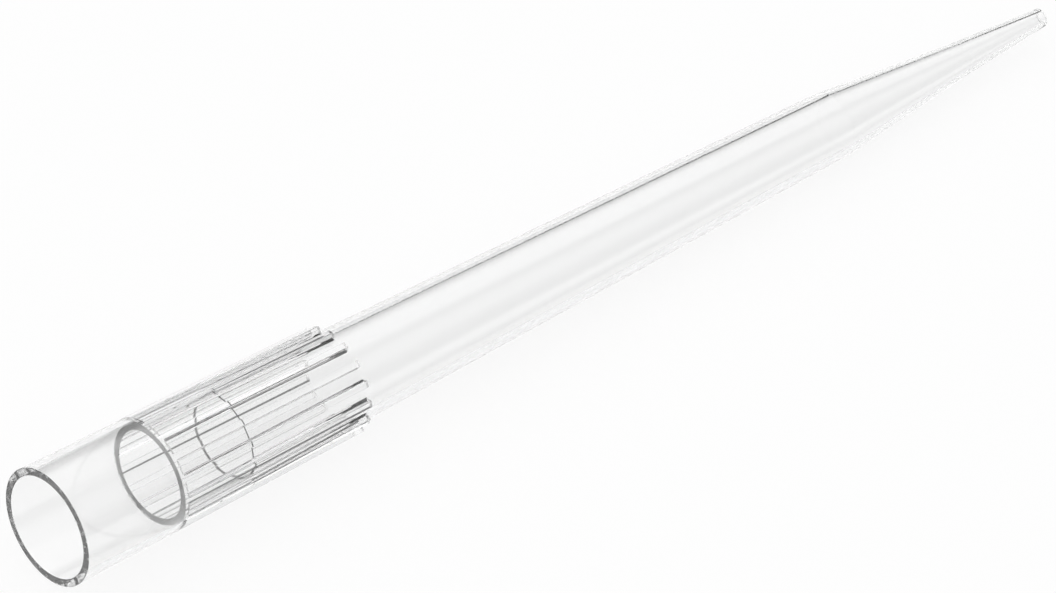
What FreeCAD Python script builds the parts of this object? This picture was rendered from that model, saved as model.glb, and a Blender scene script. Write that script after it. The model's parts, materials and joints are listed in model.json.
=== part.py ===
"""A long clear pipette tip, moulded in one piece, lying as it comes to rest.

The tip is drawn upright: its axis is Z, its mouth is at height 0 and its orifice
is at the top. A stepped bore runs right through. The collar round the mouth is
smooth, then channels cut into it leave a ring of ribs that end square, and a long
slim body runs on to a nose and a fine point.
The finished tip is laid on its side. It rests on two neighbouring ribs and on the
knee where the body turns into the nose, with its orifice a little off the floor.
The frame's origin is on the floor, under the middle of the lying tip. +X points
along the tip from its mouth to its orifice, and +Z is up. Sizes are millimetres.
"""
import FreeCAD, Part
import math
import os

from FreeCAD import Placement, Rotation, Vector

# Lengths along the axis, from the mouth to the orifice.
COLLAR_LENGTH = 8.85     # smooth collar, from the mouth to the start of the channels
RIB_LENGTH = 16.05       # ribs, from the end of the smooth collar to their square ends
BODY_LENGTH = 60.15      # body, from the end of the smooth collar to the knee
NOSE_LENGTH = 11.2       # steep nose, from the knee to the point
POINT_LENGTH = 7.8       # slimmer point, from the nose to the orifice

# The stepped bore.
SEAL_BORE_RADIUS = 3.20  # where the nozzle's seal wedges, at the shoulder
SEAL_LENGTH = 6.41       # from the shoulder to the small step below the seal
SEAL_DRAFT = 0.55        # degrees that the seal zone closes by on each side
SEAL_STEP = 0.13         # small step in at the end of the seal zone
SHOULDER_WIDTH = 0.54    # ledge between the entry bore and the seal zone
SHOULDER_LEAD = 0.18     # the shoulder lies this far before the channels start
KNEE_BORE_RADIUS = 1.848 # where the bore turns steeper
KNEE_BORE_LEAD = 0.3     # the bore turns this far past the knee of the outside
ORIFICE_RADIUS = 0.36

# Walls, measured square to the axis.
MOUTH_WALL = 0.57        # at the mouth, round the entry bore
SEAL_WALL = 0.565        # under the channels, where they start
KNEE_WALL = 0.52         # over the knee
NOSE_WALL = 0.245        # where the nose meets the point
ORIFICE_WALL = 0.312

# Ribs.
RIB_COUNT = 16
RIB_TOP_WIDTH = 0.46
RIB_DRAFT = 6.0          # degrees that each side of a rib leans in
RIB_HEIGHT = 0.555       # over the body, at a rib's free end

# Rounded edges.
MOUTH_LIP = 0.06         # outer and inner edge of the mouth
SHOULDER_ROUND = 0.08    # inner edge of the shoulder
ORIFICE_ROUND = 0.06     # outer edge of the orifice

# Heights of the stations along the axis.
RIB_END = COLLAR_LENGTH + RIB_LENGTH
KNEE = COLLAR_LENGTH + BODY_LENGTH
NOSE_END = KNEE + NOSE_LENGTH
TIP_LENGTH = NOSE_END + POINT_LENGTH
SHOULDER = COLLAR_LENGTH - SHOULDER_LEAD
SEAL_END = SHOULDER + SEAL_LENGTH
KNEE_BORE = KNEE + KNEE_BORE_LEAD

# Radii of the bore, and of the outside as bore plus wall.
ENTRY_BORE_RADIUS = SEAL_BORE_RADIUS + SHOULDER_WIDTH
SEAL_END_RADIUS = SEAL_BORE_RADIUS - SEAL_LENGTH * math.tan(math.radians(SEAL_DRAFT))
BODY_BORE_RADIUS = SEAL_END_RADIUS - SEAL_STEP
MOUTH_RADIUS = ENTRY_BORE_RADIUS + MOUTH_WALL
CHANNEL_RADIUS = SEAL_BORE_RADIUS + SEAL_WALL
ORIFICE_OUTER_RADIUS = ORIFICE_RADIUS + ORIFICE_WALL

AXIS_START = Vector(0, 0, 0)
AXIS = Vector(0, 0, 1)


def between(height, start, end):
    """The radius at a height on the straight line from start to end, each (radius, height)."""
    share = (height - start[1]) / (end[1] - start[1])
    return start[0] + share * (end[0] - start[0])


def bore_radius(height):
    """The radius of the bore past the seal zone."""
    knee = (KNEE_BORE_RADIUS, KNEE_BORE)
    if height < KNEE_BORE:
        return between(height, (BODY_BORE_RADIUS, SEAL_END), knee)
    return between(height, knee, (ORIFICE_RADIUS, TIP_LENGTH))


KNEE_RADIUS = bore_radius(KNEE) + KNEE_WALL
NOSE_END_RADIUS = bore_radius(NOSE_END) + NOSE_WALL


def body_radius(height):
    """The outside of the body, which is also the floor of the channels."""
    return between(height, (CHANNEL_RADIUS, COLLAR_LENGTH), (KNEE_RADIUS, KNEE))


RIB_END_RADIUS = body_radius(RIB_END) + RIB_HEIGHT


def envelope_radius(height):
    """The outside of the collar and the tops of the ribs."""
    return between(height, (MOUTH_RADIUS, 0), (RIB_END_RADIUS, RIB_END))


def revolved(outline):
    """A solid of revolution about the axis. outline is a closed list of (radius, height)."""
    corners = [Vector(radius, 0, height) for radius, height in outline]
    face = Part.Face(Part.makePolygon(corners + corners[:1]))
    return face.revolve(AXIS_START, AXIS, 360)


def blank():
    """The whole tip before its channels are cut, with the stepped bore through it."""
    outside = [
        (MOUTH_RADIUS, 0),
        (RIB_END_RADIUS, RIB_END),
        (body_radius(RIB_END), RIB_END),
        (KNEE_RADIUS, KNEE),
        (NOSE_END_RADIUS, NOSE_END),
        (ORIFICE_OUTER_RADIUS, TIP_LENGTH),
    ]
    inside = [
        (ENTRY_BORE_RADIUS, 0),
        (ENTRY_BORE_RADIUS, SHOULDER),
        (SEAL_BORE_RADIUS, SHOULDER),
        (SEAL_END_RADIUS, SEAL_END),
        (BODY_BORE_RADIUS, SEAL_END),
        (KNEE_BORE_RADIUS, KNEE_BORE),
        (ORIFICE_RADIUS, TIP_LENGTH),
    ]
    return revolved(outside + inside[::-1])


def rib_blade(angle):
    """A straight tapered blade along the axis, wide enough at every height for one rib."""
    lean = math.tan(math.radians(RIB_DRAFT))
    outer = MOUTH_RADIUS + RIB_HEIGHT
    inner = SEAL_BORE_RADIUS / 2

    def half_width(radius):
        return RIB_TOP_WIDTH / 2 + (envelope_radius(RIB_END) - radius) * lean

    corners = [
        Vector(inner, -half_width(inner), COLLAR_LENGTH),
        Vector(outer, -half_width(outer), COLLAR_LENGTH),
        Vector(outer, half_width(outer), COLLAR_LENGTH),
        Vector(inner, half_width(inner), COLLAR_LENGTH),
    ]
    face = Part.Face(Part.makePolygon(corners + corners[:1]))
    blade = face.extrude(AXIS * RIB_LENGTH)
    blade.rotate(AXIS_START, AXIS, angle)
    return blade


def channels():
    """The spaces between the ribs: a ring outside the body, less one blade for each rib.

    The ribs stand half a pitch to either side of +X, which is the side the tip lies on.
    """
    clear = MOUTH_RADIUS + RIB_HEIGHT / 2
    ring = revolved([
        (CHANNEL_RADIUS, COLLAR_LENGTH),
        (clear, COLLAR_LENGTH),
        (clear, RIB_END),
        (body_radius(RIB_END), RIB_END),
    ])
    pitch = 360 / RIB_COUNT
    blades = [rib_blade(pitch * (index + 0.5)) for index in range(RIB_COUNT)]
    return ring.cut(blades)


def ring_edge(solid, radius, height):
    """The round edge of this radius at this height."""
    def miss(edge):
        centre = edge.Curve.Center
        return abs(edge.Curve.Radius - radius) + (centre - AXIS * height).Length

    rounds = [edge for edge in solid.Edges if isinstance(edge.Curve, Part.Circle)]
    return min(rounds, key=miss)


def upright_tip():
    """The finished tip, standing on its mouth."""
    tip = blank()
    roundings = [
        (MOUTH_LIP, MOUTH_RADIUS, 0),
        (MOUTH_LIP, ENTRY_BORE_RADIUS, 0),
        (SHOULDER_ROUND, SEAL_BORE_RADIUS, SHOULDER),
        (ORIFICE_ROUND, ORIFICE_OUTER_RADIUS, TIP_LENGTH),
    ]
    for size, radius, height in roundings:
        tip = tip.makeFillet(size, [ring_edge(tip, radius, height)])
    (ribbed,) = tip.cut(channels()).Solids
    return ribbed


def rest_slope(balance):
    """How steeply the axis falls from the mouth to the orifice when the tip lies down.

    Each station reaches a distance below the axis. The floor touches the two stations
    whose line passes furthest below the height where the tip balances.
    """
    rib_half_angle = math.asin(RIB_TOP_WIDTH / 2 / RIB_END_RADIUS)
    rib_corner = RIB_END_RADIUS * math.cos(math.pi / RIB_COUNT - rib_half_angle)
    stations = [
        (MOUTH_RADIUS, 0),
        (rib_corner, RIB_END),
        (KNEE_RADIUS, KNEE),
        (NOSE_END_RADIUS, NOSE_END),
        (ORIFICE_OUTER_RADIUS, TIP_LENGTH),
    ]
    pairs = [(low, high) for low in stations for high in stations
             if low[1] < balance < high[1]]
    low, high = max(pairs, key=lambda pair: between(balance, *pair))
    return (low[0] - high[0]) / (high[1] - low[1])


def laid_down(tip):
    """The tip on its side, touching the floor where it balances, over the origin."""
    slope = rest_slope(tip.CenterOfMass.z)
    turned = Rotation(Vector(0, 1, 0), 90 + math.degrees(math.atan(slope)))
    tip.Placement = Placement(Vector(0, 0, 0), turned)
    box = tip.optimalBoundingBox(False, False)
    shift = Vector(-box.Center.x, -box.Center.y, -box.ZMin)
    tip.Placement = Placement(shift, turned)
    return tip


def describe(tip, placement):
    """Print the solid's facts, and the mounting faces in the lying frame."""
    box = tip.optimalBoundingBox(False, False)
    print("valid", tip.isValid(), "solids", len(tip.Solids), "faces", len(tip.Faces))
    print("volume mm3", round(tip.Volume, 3))
    print("box", [round(value, 4) for value in
                  (box.XMin, box.YMin, box.ZMin, box.XMax, box.YMax, box.ZMax)])
    centre = tip.CenterOfMass
    print("centre of mass", [round(value, 4) for value in centre])
    out = placement.Rotation.multVec(AXIS * -1)
    print("axis out of the mouth", [round(value, 7) for value in out])
    places = {
        "mouth": Vector(0, 0, 0),
        "mouth face": Vector(ENTRY_BORE_RADIUS + MOUTH_WALL / 2, 0, 0),
        "entry bore": Vector(0, 0, SHOULDER / 2),
        "shoulder": Vector(0, 0, SHOULDER),
        "shoulder face": Vector(SEAL_BORE_RADIUS + SHOULDER_WIDTH / 2, 0, SHOULDER),
        "seal end": Vector(0, 0, SEAL_END),
        "rib end": Vector(0, 0, RIB_END),
        "knee": Vector(0, 0, KNEE),
        "nose end": Vector(0, 0, NOSE_END),
        "orifice": Vector(0, 0, TIP_LENGTH),
    }
    for name, place in places.items():
        print(name, [round(value, 4) for value in placement.multVec(place)])


os.makedirs("parts", exist_ok=True)
pipette_tip = laid_down(upright_tip())
describe(pipette_tip, pipette_tip.Placement)
pipette_tip.exportStep("parts/pipette_tip.step")
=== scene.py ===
"""The clear pipette tip, lying on a pale floor.

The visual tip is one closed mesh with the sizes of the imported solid. It is drawn in
millimetres with its mouth at height 0 and its axis along Z, then laid into the row
frame, which is in metres.
"""

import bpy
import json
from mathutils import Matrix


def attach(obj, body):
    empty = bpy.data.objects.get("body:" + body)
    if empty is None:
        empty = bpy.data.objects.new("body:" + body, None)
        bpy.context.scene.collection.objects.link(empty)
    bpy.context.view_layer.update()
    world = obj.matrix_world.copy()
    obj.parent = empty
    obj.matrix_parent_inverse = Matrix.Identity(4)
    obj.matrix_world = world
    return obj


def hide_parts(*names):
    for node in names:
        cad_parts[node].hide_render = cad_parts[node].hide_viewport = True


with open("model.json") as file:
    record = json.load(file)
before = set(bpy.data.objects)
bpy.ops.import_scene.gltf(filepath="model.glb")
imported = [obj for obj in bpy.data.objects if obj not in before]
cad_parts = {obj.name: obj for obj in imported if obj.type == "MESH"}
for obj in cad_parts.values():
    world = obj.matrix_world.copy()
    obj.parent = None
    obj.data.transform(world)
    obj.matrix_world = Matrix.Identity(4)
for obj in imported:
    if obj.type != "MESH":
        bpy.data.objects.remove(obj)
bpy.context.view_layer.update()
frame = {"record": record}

import json
import math

import bmesh
import bpy
from mathutils import Matrix, Vector

MM = 0.001

# ---------------------------------------------------------------- the tip's sizes, in mm
COLLAR_LENGTH = 8.85
RIB_END = 24.9
KNEE = 69.0
NOSE_END = 80.2
TIP_LENGTH = 88.0
SHOULDER = 8.67
SEAL_END = 15.08
KNEE_BORE = 69.3

MOUTH_RADIUS = 4.31
CHANNEL_RADIUS = 3.765
KNEE_RADIUS = 2.3744
NOSE_END_RADIUS = 1.2257
ORIFICE_OUTER_RADIUS = 0.672
RIB_END_RADIUS = 3.9489

ENTRY_BORE_RADIUS = 3.74
SEAL_BORE_RADIUS = 3.20
SEAL_END_RADIUS = 3.1385
BODY_BORE_RADIUS = 3.0085
KNEE_BORE_RADIUS = 1.848
ORIFICE_RADIUS = 0.36

KINKS = (KNEE, NOSE_END, KNEE_BORE)     # where a cone meets another at a slight angle
BORE_LINE = 0.022                       # faint step out at the bore's kink

RIB_COUNT = 16
RIB_TOP_WIDTH = 0.46
RIB_DRAFT = 6.0
RIB_ROUNDING = 0.25

# steps round half a rib's top and half a channel's floor
TOP_STEPS = 2
FLOOR_STEPS = 5

# ---------------------------------------------------------------- the picture
VIEW_ROUND = math.radians(37.75)      # the camera stands this far round the axis from above
VIEW_FROM_AXIS = math.radians(58.57)  # between the line of sight and the axis
IMAGE_SLOPE = math.radians(27.2)      # the axis climbs to the right in the picture
VIEW_WIDTH = 0.07095                  # metres across the picture at the tip
VIEW_RIGHT = -1.546                   # from the tip's middle to the picture's, in mm
VIEW_UP = -1.859
SENSOR = 36                           # the camera's sensor and lens, in mm
LENS = 800

# ---------------------------------------------------------------- looks
CLEAR_COLOUR = (0.987, 0.988, 0.9875)
CLEAR_IOR = 1.49
CLEARNESS = 0.95         # share of the light that goes through the plastic unscattered
GLOSS = 0.03             # its roughness where it is smooth
CHANNEL_PAINTED_SHADE = 0.045     # painted shade: how much greyer the floors of the channels are painted
LEDGE_PAINTED_SHADE = 0.75        # painted shade: how much darker the ledge at the seal's end is painted
SPECKLE_SCALE = 2400.0   # cells of the speckles' noise to a metre
SPECKLE_HAZE = 0.22      # clearness lost, and roughness gained, on a speckle
SPECKLE_ROUGH = 0.25
SHOULDER_HAZE = 0.33     # the same on the shoulder
SHOULDER_ROUGH = 0.10

FLOOR_COLOUR = (0.93, 0.93, 0.93, 1)
FLOOR_GLOW = 0.90        # share of white for the camera; the rest keeps the shadow
FLOOR_DEPTH = 0.02       # how far the floor lies under the tip, in mm
FLOOR_REACH = 3.0        # from the floor's middle to its sides, in metres

# the world's strength low down and high up, and the heights of the sky between which
# it turns from one to the other, where 0 is the horizon and 1 is straight up
WORLD_LOW, WORLD_HIGH = 0.05, 1.0
DIM_BELOW, BRIGHT_ABOVE = 0.25, 0.6
WHITE = (1, 1, 1, 1)


def mount(name):
    return next(m for m in frame["record"]["mounts"] if m["name"] == name)


AXIS = Vector(mount("orifice")["axis"]).normalized()
MOUTH = Vector(mount("orifice")["pos_m"]) - AXIS * TIP_LENGTH * MM
SIDE = Vector((0, 1, 0))
DOWN = SIDE.cross(AXIS).normalized()


def add_camera():
    """The camera looks into the mouth from above and a little to one side."""
    over = -DOWN * math.cos(VIEW_ROUND) - SIDE * math.sin(VIEW_ROUND)
    across = AXIS.cross(over)
    back = -AXIS * math.cos(VIEW_FROM_AXIS) + over * math.sin(VIEW_FROM_AXIS)
    along = (AXIS + back * math.cos(VIEW_FROM_AXIS)) / math.sin(VIEW_FROM_AXIS)
    right = along * math.cos(IMAGE_SLOPE) + across * math.sin(IMAGE_SLOPE)
    up = along * math.sin(IMAGE_SLOPE) - across * math.cos(IMAGE_SLOPE)
    data = bpy.data.cameras.new("camera")
    data.sensor_width = SENSOR
    data.lens = LENS
    middle = MOUTH + (AXIS * TIP_LENGTH / 2 + right * VIEW_RIGHT + up * VIEW_UP) * MM
    distance = VIEW_WIDTH * LENS / SENSOR
    data.clip_start, data.clip_end = 0.1, 10
    camera = bpy.data.objects.new("camera", data)
    bpy.context.scene.collection.objects.link(camera)
    turn = Matrix((right, up, back)).transposed().to_4x4()
    camera.matrix_world = Matrix.Translation(middle + back * distance) @ turn
    bpy.context.scene.camera = camera


# ---------------------------------------------------------------- the tip's surface
def between(height, start, end):
    share = (height - start[1]) / (end[1] - start[1])
    return start[0] + share * (end[0] - start[0])


def body_radius(height):
    return between(height, (CHANNEL_RADIUS, COLLAR_LENGTH), (KNEE_RADIUS, KNEE))


def envelope_radius(height):
    return between(height, (MOUTH_RADIUS, 0), (RIB_END_RADIUS, RIB_END))


def rib_edge(radius):
    """The angle from a rib's middle to its side, at a radius."""
    lean = math.tan(math.radians(RIB_DRAFT))
    half = RIB_TOP_WIDTH / 2
    for _ in range(5):
        reach = math.sqrt(radius ** 2 - half ** 2)
        half = RIB_TOP_WIDTH / 2 + (RIB_END_RADIUS - reach) * lean
    return math.atan2(half, reach)


def pitch_angles(height):
    """One pitch of (angle from the rib's middle, is it on the rib's top)."""
    half_pitch = math.pi / RIB_COUNT
    top = rib_edge(envelope_radius(height))
    root = rib_edge(body_radius(height))
    floor = [root + (half_pitch - root) * k / FLOOR_STEPS for k in range(FLOOR_STEPS + 1)]
    tops = [top * k / TOP_STEPS for k in range(-TOP_STEPS, TOP_STEPS + 1)]
    return ([(-a, False) for a in reversed(floor)] + [(a, True) for a in tops]
            + [(a, False) for a in floor[:-1]])


def ring(height, top_radius, floor_radius, ribbed):
    """One ring of points. Away from the ribs its points are evenly spaced."""
    pitch = 2 * math.pi / RIB_COUNT
    spots = pitch_angles(height)
    points = []
    for rib in range(RIB_COUNT):
        for k, (angle, on_top) in enumerate(spots):
            if not ribbed:
                angle = -pitch / 2 + pitch * k / len(spots)
            turn = pitch * (rib + 0.5) + angle
            radius = top_radius if on_top else floor_radius
            points.append((radius * math.cos(turn), radius * math.sin(turn), height))
    return points


def steps(start, end, pace):
    """Heights after start, up to and with end, about pace apart."""
    count = max(1, round(abs(end - start) / pace))
    return [start + (end - start) * k / count for k in range(1, count + 1)]


def cone(low, high, pace):
    """Heights up a cone from low to high, each (radius, height).

    A first and a last ring lie close to its ends, so that the shading turns there.
    """
    hold = 0.1 if low[1] < high[1] else -0.1
    return [low[1] + hold] + steps(low[1] + hold, high[1] - hold, pace) + [high[1]]


def outside():
    """Rings from the mouth to the orifice."""
    collar_end = COLLAR_LENGTH
    rings = []
    for height in [0.0] + cone((0, 0), (0, collar_end), 1.2)[:-1]:
        rings.append(ring(height, *[envelope_radius(height)] * 2, False))
    rings.append(ring(collar_end, *[envelope_radius(collar_end)] * 2, True))
    for height in [collar_end] + cone((0, collar_end), (0, RIB_END), 1.6):
        rings.append(ring(height, envelope_radius(height), body_radius(height), True))
    rings.append(ring(RIB_END, *[body_radius(RIB_END)] * 2, True))
    for height in cone((0, RIB_END), (0, KNEE), 2.0):
        rings.append(ring(height, *[body_radius(height)] * 2, False))
    stations = [(KNEE_RADIUS, KNEE), (NOSE_END_RADIUS, NOSE_END),
                (ORIFICE_OUTER_RADIUS, TIP_LENGTH)]
    for low, high in zip(stations, stations[1:]):
        for height in cone(low, high, 1.6):
            rings.append(ring(height, *[between(height, low, high)] * 2, False))
    return rings


def inside():
    """Rings of the bore from the orifice back to the mouth."""
    stations = [
        (ORIFICE_RADIUS, TIP_LENGTH),
        (KNEE_BORE_RADIUS + BORE_LINE, KNEE_BORE),
        (KNEE_BORE_RADIUS, KNEE_BORE),
        (BODY_BORE_RADIUS, SEAL_END),
        (SEAL_END_RADIUS, SEAL_END),
        (SEAL_BORE_RADIUS, SHOULDER),
        (ENTRY_BORE_RADIUS, SHOULDER),
        (ENTRY_BORE_RADIUS, 0.0),
    ]
    rings = [ring(TIP_LENGTH, ORIFICE_RADIUS, ORIFICE_RADIUS, False)]
    for low, high in zip(stations, stations[1:]):
        if low[1] == high[1]:
            rings.append(ring(high[1], high[0], high[0], False))
            continue
        for height in cone(low, high, 2.0):
            radius = between(height, low, high)
            rings.append(ring(height, radius, radius, False))
    return rings


def rounding(low, high, radius):
    """The share of the full rounding that an edge gets, from its heights and its radius."""
    if low < 0.01:
        return 1.0
    if high > TIP_LENGTH - 0.01:
        return 0.5 if radius > ORIFICE_RADIUS + 0.01 else 0.0
    if min(abs(low - SEAL_END), abs(low - KNEE_BORE)) < 0.01:
        return 0.0
    return RIB_ROUNDING if low > COLLAR_LENGTH - 0.01 < high - 0.02 else 0.6


def tip_mesh():
    rings = outside() + inside()
    count = len(rings[0])
    bm = bmesh.new()
    rows = [[bm.verts.new(point) for point in points] for points in rings]
    for row, following in zip(rows, rows[1:] + rows[:1]):
        for k in range(count):
            n = (k + 1) % count
            bm.faces.new((row[k], row[n], following[n], following[k]))
    bmesh.ops.remove_doubles(bm, verts=bm.verts, dist=0.0005)
    bmesh.ops.dissolve_degenerate(bm, dist=0.0005, edges=bm.edges)
    bmesh.ops.recalc_face_normals(bm, faces=bm.faces)
    weight = bm.edges.layers.float.new("bevel_weight_edge")
    for edge in bm.edges:
        low, high = sorted(vert.co.z for vert in edge.verts)
        if edge.calc_face_angle(0) > math.radians(28):
            edge[weight] = rounding(low, high, edge.verts[0].co.xy.length)
            edge.smooth = edge[weight] > 0
        elif high - low < 0.01 and min(abs(low - kink) for kink in KINKS) < 0.01:
            edge.smooth = False
    for face in bm.faces:
        face.smooth = True
    lie = Matrix((DOWN, SIDE, AXIS)).transposed().to_4x4()
    bm.transform(Matrix.Translation(MOUTH) @ lie @ Matrix.Scale(MM, 4))
    mesh = bpy.data.meshes.new("pipette_tip_clear")
    bm.to_mesh(mesh)
    bm.free()
    return mesh


def add_tip():
    tip = bpy.data.objects.new("pipette_tip_clear", tip_mesh())
    bpy.context.scene.collection.objects.link(tip)
    bevel = tip.modifiers.new("edges", "BEVEL")
    bevel.limit_method = "WEIGHT"
    bevel.width = 0.06 * MM
    bevel.segments = 3
    bevel.use_clamp_overlap = True
    bevel.harden_normals = True
    tip.data.materials.append(clear_plastic())
    return tip


# ---------------------------------------------------------------- materials
class Graph:
    """A material's node tree, with short ways to add and join its nodes."""

    def __init__(self, name):
        self.material = bpy.data.materials.new(name)
        self.material.use_nodes = True
        self.nodes = self.material.node_tree.nodes
        self.links = self.material.node_tree.links
        self.shader = self.nodes["Principled BSDF"]
        self.output = self.nodes["Material Output"]

    def feed(self, socket, value):
        if isinstance(value, bpy.types.NodeSocket):
            self.links.new(value, socket)
        else:
            socket.default_value = value

    def node(self, kind, **settings):
        node = self.nodes.new(kind)
        for name, value in settings.items():
            setattr(node, name, value)
        return node

    def math(self, operation, *values):
        node = self.node("ShaderNodeMath", operation=operation)
        for socket, value in zip(node.inputs, values):
            self.feed(socket, value)
        return node.outputs[0]

    def vector(self, operation, *values):
        node = self.node("ShaderNodeVectorMath", operation=operation)
        for socket, value in zip(node.inputs, values):
            self.feed(socket, value)
        return node.outputs["Value" if operation in ("DOT_PRODUCT", "LENGTH") else "Vector"]

    def ramp(self, value, low, high, to_low, to_high):
        """Carry value smoothly from to_low, at or below low, to to_high, at or above high."""
        node = self.node("ShaderNodeMapRange", interpolation_type="SMOOTHSTEP")
        for name, given in (("Value", value), ("From Min", low), ("From Max", high),
                            ("To Min", to_low), ("To Max", to_high)):
            self.feed(node.inputs[name], given)
        return node.outputs[0]

    def near(self, value, middle, reach, fade):
        """1 where value is within reach of middle, down to 0 over fade."""
        miss = self.math("ABSOLUTE", self.math("SUBTRACT", value, middle))
        return self.ramp(miss, reach, reach + fade, 1.0, 0.0)

    def noise(self, place, scale):
        node = self.node("ShaderNodeTexNoise")
        self.feed(node.inputs["Vector"], place)
        node.inputs["Scale"].default_value = scale
        return node.outputs["Fac"]


def clear_plastic():
    """Clear polypropylene, a little milky.

    The shoulder is evenly hazy. The other faces across the axis, at the mouth, the
    orifice and the ends of the ribs, have matt speckles. The floors of the channels
    get a little painted shade, and the ledge at the seal's end, with a thin strip of
    bore on each side of it, gets a dark painted shade line. Each of these places
    is found by its height and its radius, in mm.
    """
    graph = Graph("clear_polypropylene")
    shader = graph.shader
    shader.inputs["IOR"].default_value = CLEAR_IOR
    facing = graph.node("ShaderNodeNewGeometry").outputs["Normal"]
    across = graph.math("ABSOLUTE", graph.vector("DOT_PRODUCT", facing, tuple(AXIS)))
    end_face = graph.ramp(across, 0.6, 0.9, 0.0, 1.0)
    place = graph.node("ShaderNodeTexCoord").outputs["Object"]
    from_mouth = graph.vector("SUBTRACT", place, tuple(MOUTH))
    height = graph.math("DIVIDE", graph.vector("DOT_PRODUCT", from_mouth, tuple(AXIS)), MM)
    off_axis = graph.vector("CROSS_PRODUCT", from_mouth, tuple(AXIS))
    radius = graph.math("DIVIDE", graph.vector("LENGTH", off_axis), MM)

    # the floors of the channels, between the ribs, which get a little painted shade
    slope = (KNEE_RADIUS - CHANNEL_RADIUS) / (KNEE - COLLAR_LENGTH)
    floor = graph.math("MULTIPLY_ADD", height, slope, body_radius(0))
    on_floor = graph.near(graph.math("SUBTRACT", radius, floor), 0.0, 0.03, 0.03)
    in_ribs = graph.near(height, (COLLAR_LENGTH + RIB_END) / 2,
                         (RIB_END - COLLAR_LENGTH) / 2 - 0.02, 0.04)
    channel = graph.math("MULTIPLY", in_ribs, on_floor)
    # the ledge at the seal's end and a thin strip of bore each side of it, painted dark as a
    # shade line
    in_bore = graph.ramp(radius, SEAL_BORE_RADIUS, SEAL_BORE_RADIUS + 0.1, 1.0, 0.0)
    ledge = graph.math("MULTIPLY", in_bore, graph.near(height, SEAL_END, 0.06, 0.02))
    # painted shade in the base colour: the channel floors a little greyer, the seal's ledge
    # dark
    painted_shade = graph.math("MULTIPLY_ADD", channel, CHANNEL_PAINTED_SHADE,
                      graph.math("MULTIPLY", ledge, LEDGE_PAINTED_SHADE))
    graph.feed(shader.inputs["Base Color"], graph.vector(
        "MULTIPLY", CLEAR_COLOUR, graph.math("SUBTRACT", 1.0, painted_shade)))

    speckle = graph.ramp(graph.noise(place, SPECKLE_SCALE), 0.52, 0.66, 0.1, 1.0)
    shoulder = graph.math("MULTIPLY", end_face, graph.near(height, SHOULDER, 0.1, 0.1))
    matt = graph.math("MULTIPLY", graph.math("SUBTRACT", end_face, shoulder), speckle)
    haze = graph.math("MULTIPLY_ADD", matt, SPECKLE_HAZE,
                      graph.math("MULTIPLY", shoulder, SHOULDER_HAZE))
    graph.feed(shader.inputs["Transmission Weight"],
               graph.math("SUBTRACT", CLEARNESS, haze))
    rough = graph.math("MULTIPLY_ADD", matt, SPECKLE_ROUGH,
                       graph.math("MULTIPLY", shoulder, SHOULDER_ROUGH))
    graph.feed(shader.inputs["Roughness"], graph.math("ADD", GLOSS, rough))
    return graph.material


def floor_material():
    """A plain white floor, which keeps a faint shadow where the camera sees it directly."""
    graph = Graph("pale_floor")
    shader = graph.shader
    shader.inputs["Roughness"].default_value = 0.9
    shader.inputs["Specular IOR Level"].default_value = 0.0
    shader.inputs["Base Color"].default_value = FLOOR_COLOUR
    path = graph.node("ShaderNodeLightPath").outputs
    seen_in = graph.math("MAXIMUM", path["Is Glossy Ray"], path["Is Transmission Ray"])
    direct = graph.math("MULTIPLY", path["Is Camera Ray"], FLOOR_GLOW)
    glow = graph.node("ShaderNodeEmission")
    glow.inputs["Color"].default_value = WHITE
    mix = graph.node("ShaderNodeMixShader")
    graph.feed(mix.inputs["Fac"], graph.math("MAXIMUM", direct, seen_in))
    graph.feed(mix.inputs[1], shader.outputs["BSDF"])
    graph.feed(mix.inputs[2], glow.outputs["Emission"])
    graph.feed(graph.output.inputs["Surface"], mix.outputs["Shader"])
    return graph.material


# ---------------------------------------------------------------- stage
def add_floor():
    bm = bmesh.new()
    bmesh.ops.create_grid(bm, x_segments=1, y_segments=1, size=FLOOR_REACH)
    mesh = bpy.data.meshes.new("floor")
    bm.to_mesh(mesh)
    bm.free()
    floor = bpy.data.objects.new("floor", mesh)
    floor.location.z = -FLOOR_DEPTH * MM
    bpy.context.scene.collection.objects.link(floor)
    mesh.materials.append(floor_material())


def add_world():
    """A soft bright ceiling that dims towards the horizon."""
    world = bpy.data.worlds.new("studio")
    bpy.context.scene.world = world
    world.use_nodes = True
    nodes, links = world.node_tree.nodes, world.node_tree.links
    split = nodes.new("ShaderNodeSeparateXYZ")
    links.new(nodes.new("ShaderNodeTexCoord").outputs["Generated"], split.inputs[0])
    ramp = nodes.new("ShaderNodeMapRange")
    ramp.interpolation_type = "SMOOTHSTEP"
    for name, value in (("From Min", DIM_BELOW), ("From Max", BRIGHT_ABOVE),
                        ("To Min", WORLD_LOW), ("To Max", WORLD_HIGH)):
        ramp.inputs[name].default_value = value
    links.new(split.outputs["Z"], ramp.inputs["Value"])
    nodes["Background"].inputs["Color"].default_value = WHITE
    links.new(ramp.outputs[0], nodes["Background"].inputs["Strength"])


def add_lamp(name, place, size, power):
    """A square lamp that faces the tip, with its place and size in metres."""
    data = bpy.data.lights.new(name, "AREA")
    data.shape = "SQUARE"
    data.size = size
    data.energy = power
    lamp = bpy.data.objects.new(name, data)
    lamp.location = place
    lamp.rotation_mode = "QUATERNION"
    lamp.rotation_quaternion = Vector(place).to_track_quat("Z", "Y")
    lamp.visible_camera = False
    bpy.context.scene.collection.objects.link(lamp)


bpy.context.scene.view_settings.view_transform = "Standard"
add_camera()
add_floor()
add_world()
add_lamp("overhead", place=(0.2, 0.5, 1.0), size=1.6, power=3.0)

tip = add_tip()
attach(tip, "root")
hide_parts("pipette_tip")
